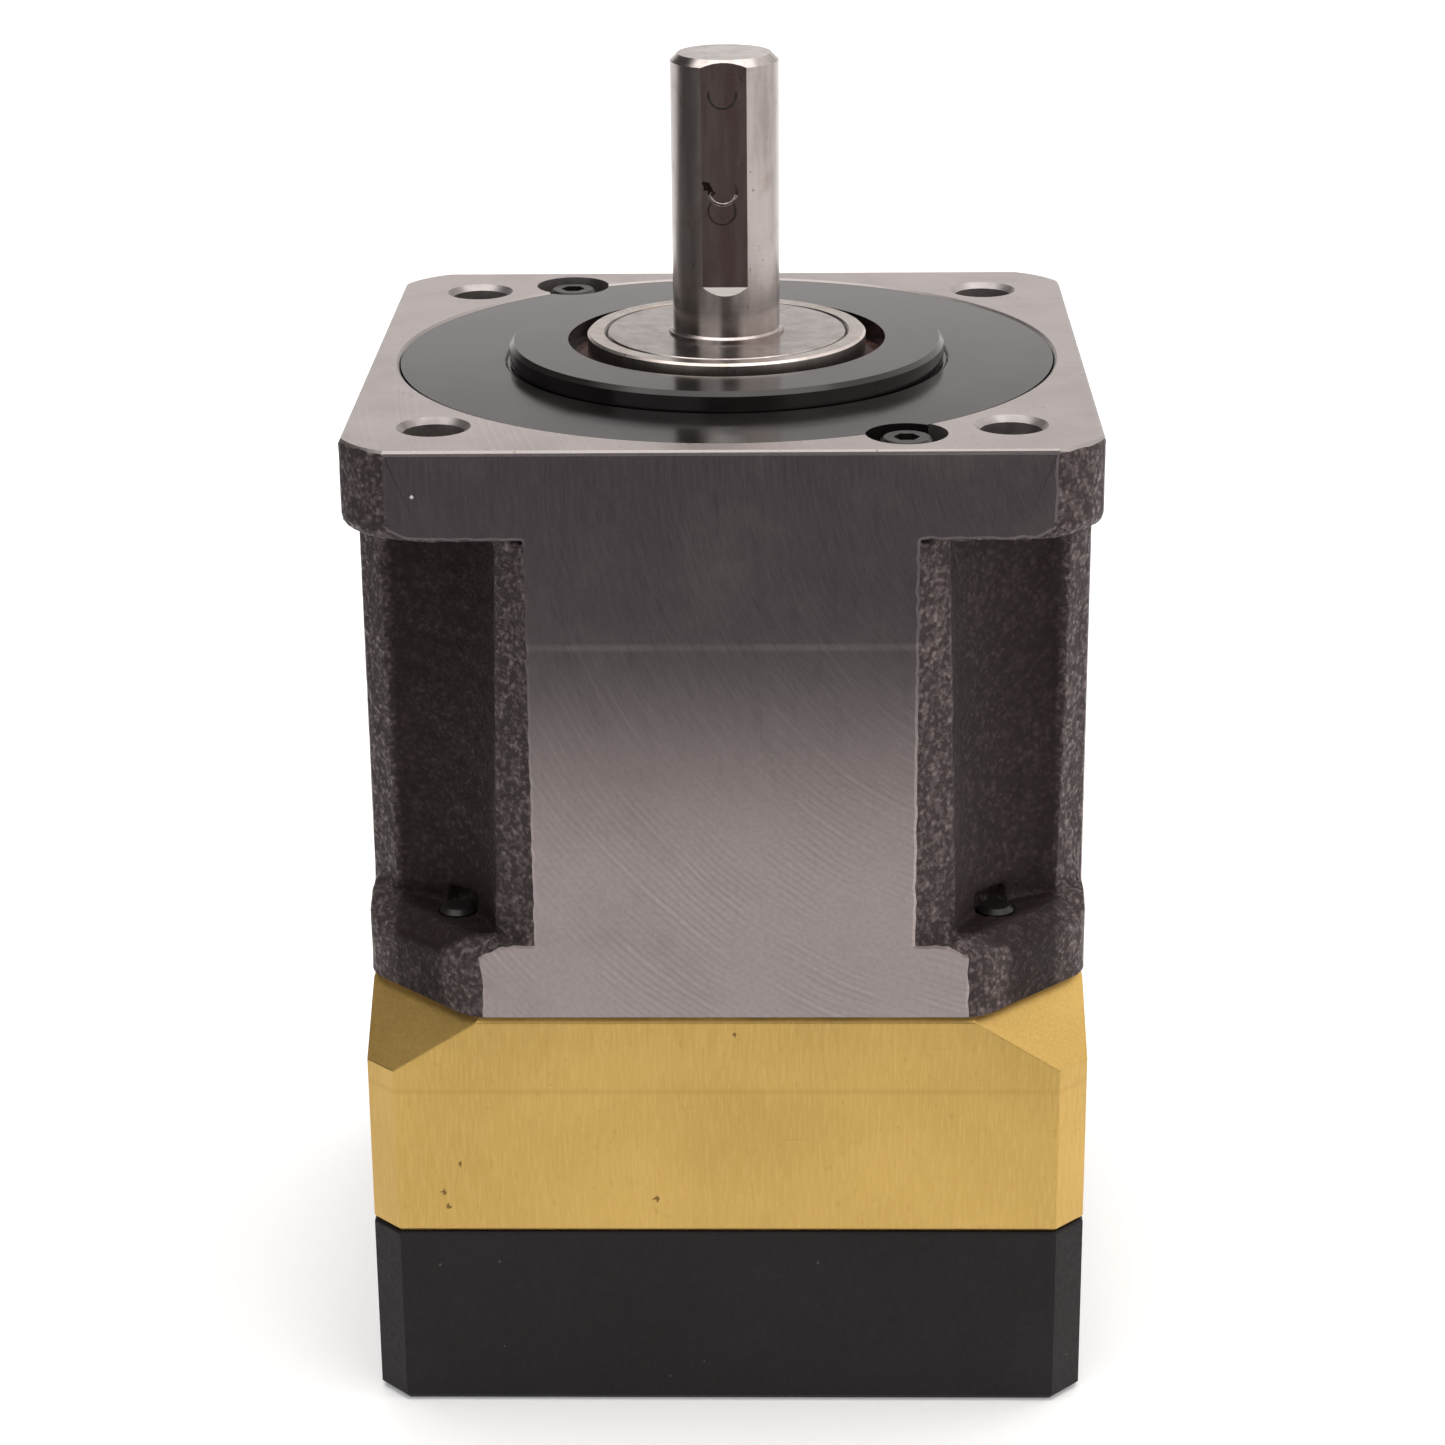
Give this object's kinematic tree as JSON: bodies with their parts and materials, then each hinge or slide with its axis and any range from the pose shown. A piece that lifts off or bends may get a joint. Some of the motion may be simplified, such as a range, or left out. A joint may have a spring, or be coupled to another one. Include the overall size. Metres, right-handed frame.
{
  "type": "inline planetary gear reducer",
  "caption": "Square inline planetary gear reducer: flanged cast iron output housing with a flatted round shaft, gold ring gear block and black motor adapter.",
  "frame": {"origin": "middle of the motor face, the plane the part stands on", "axes": "+Z along the output shaft, out of the flange; -Y is the side that the shaft's flat faces; the two cover screws are at right front and left back"},
  "size_m": [0.08, 0.08, 0.146],
  "materials": {
    "cast_iron": "as cast, with the top and side faces machined",
    "black_oxide_steel": "turned and blackened",
    "ground_steel": "ground and turned",
    "gear_steel": "hardened and ground",
    "bearing_steel": "polished bearing steel",
    "cage_polymer": "moulded polyamide",
    "seal_rubber": "red brown oil seal rubber",
    "black_rubber": "nitrile rubber",
    "gold_anodised": "brushed and gold anodised",
    "black_anodised": "matt black anodised",
    "plug_plastic": "moulded"
  },
  "bodies": {
    "housing": {"output_housing": "cast_iron", "bearing_cover": "black_oxide_steel", "cover_screws": "black_oxide_steel", "cover_o_ring": "black_rubber", "oil_seal": "seal_rubber", "front_bearing_outer_ring": "bearing_steel", "rear_bearing_outer_ring": "bearing_steel", "ring_housing": "gold_anodised", "ring_gear": "gear_steel", "upper_o_ring": "black_rubber", "dowel_pins": "gear_steel", "input_bearing_outer_ring": "bearing_steel", "input_seal": "black_rubber", "input_bearing_clip": "black_oxide_steel", "motor_adapter": "black_anodised", "lower_o_ring": "black_rubber", "access_plug": "plug_plastic", "housing_bolts": "black_oxide_steel"},
    "output": {"output_shaft": "ground_steel", "seal_collar": "ground_steel", "bearing_spacer": "ground_steel", "front_bearing_inner_ring": "bearing_steel", "rear_bearing_inner_ring": "bearing_steel", "planet_pins": "gear_steel", "thrust_washers": "gear_steel"},
    "input": {"input_sleeve": "gear_steel", "input_bearing_inner_ring": "bearing_steel", "input_sleeve_clip": "black_oxide_steel", "clamp_collar": "black_oxide_steel", "clamp_screw": "black_oxide_steel"},
    "front_ball_set": {"front_bearing_balls": "bearing_steel", "front_bearing_cage": "cage_polymer"},
    "rear_ball_set": {"rear_bearing_balls": "bearing_steel", "rear_bearing_cage": "cage_polymer"},
    "input_ball_set": {"input_bearing_balls": "bearing_steel", "input_bearing_cage": "cage_polymer"},
    "planet_1": {"planet_gear_1": "gear_steel", "planet_needles_1": "bearing_steel"},
    "planet_2": {"planet_gear_2": "gear_steel", "planet_needles_2": "bearing_steel"},
    "planet_3": {"planet_gear_3": "gear_steel", "planet_needles_3": "bearing_steel"}
  },
  "joints": [
    {"name": "output_spin", "type": "hinge", "parent": "housing", "child": "output", "pos_m": [0, 0, 0.05], "axis": [0, 0, 1], "continuous": true},
    {"name": "input_spin", "type": "hinge", "parent": "housing", "child": "input", "pos_m": [0, 0, 0.05], "axis": [0, 0, 1], "continuous": true},
    {"name": "front_balls_spin", "type": "hinge", "parent": "housing", "child": "front_ball_set", "pos_m": [0, 0, 0.05], "axis": [0, 0, 1], "continuous": true},
    {"name": "rear_balls_spin", "type": "hinge", "parent": "housing", "child": "rear_ball_set", "pos_m": [0, 0, 0.05], "axis": [0, 0, 1], "continuous": true},
    {"name": "input_balls_spin", "type": "hinge", "parent": "housing", "child": "input_ball_set", "pos_m": [0, 0, 0.05], "axis": [0, 0, 1], "continuous": true},
    {"name": "planet_1_spin", "type": "hinge", "parent": "output", "child": "planet_1", "pos_m": [0.018, 0, 0.0415], "axis": [0, 0, 1], "continuous": true},
    {"name": "planet_2_spin", "type": "hinge", "parent": "output", "child": "planet_2", "pos_m": [-0.009, 0.01559, 0.0415], "axis": [0, 0, 1], "continuous": true},
    {"name": "planet_3_spin", "type": "hinge", "parent": "output", "child": "planet_3", "pos_m": [-0.009, -0.01559, 0.0415], "axis": [0, 0, 1], "continuous": true}
  ],
  "couplings": [
    {"joint": "input_spin", "follows": "output_spin", "ratio": 5},
    {"joint": "front_balls_spin", "follows": "output_spin", "ratio": 0.41176},
    {"joint": "rear_balls_spin", "follows": "output_spin", "ratio": 0.39565},
    {"joint": "input_balls_spin", "follows": "output_spin", "ratio": 2.1538},
    {"joint": "planet_1_spin", "follows": "output_spin", "ratio": -2.6667},
    {"joint": "planet_2_spin", "follows": "output_spin", "ratio": -2.6667},
    {"joint": "planet_3_spin", "follows": "output_spin", "ratio": -2.6667}
  ]
}
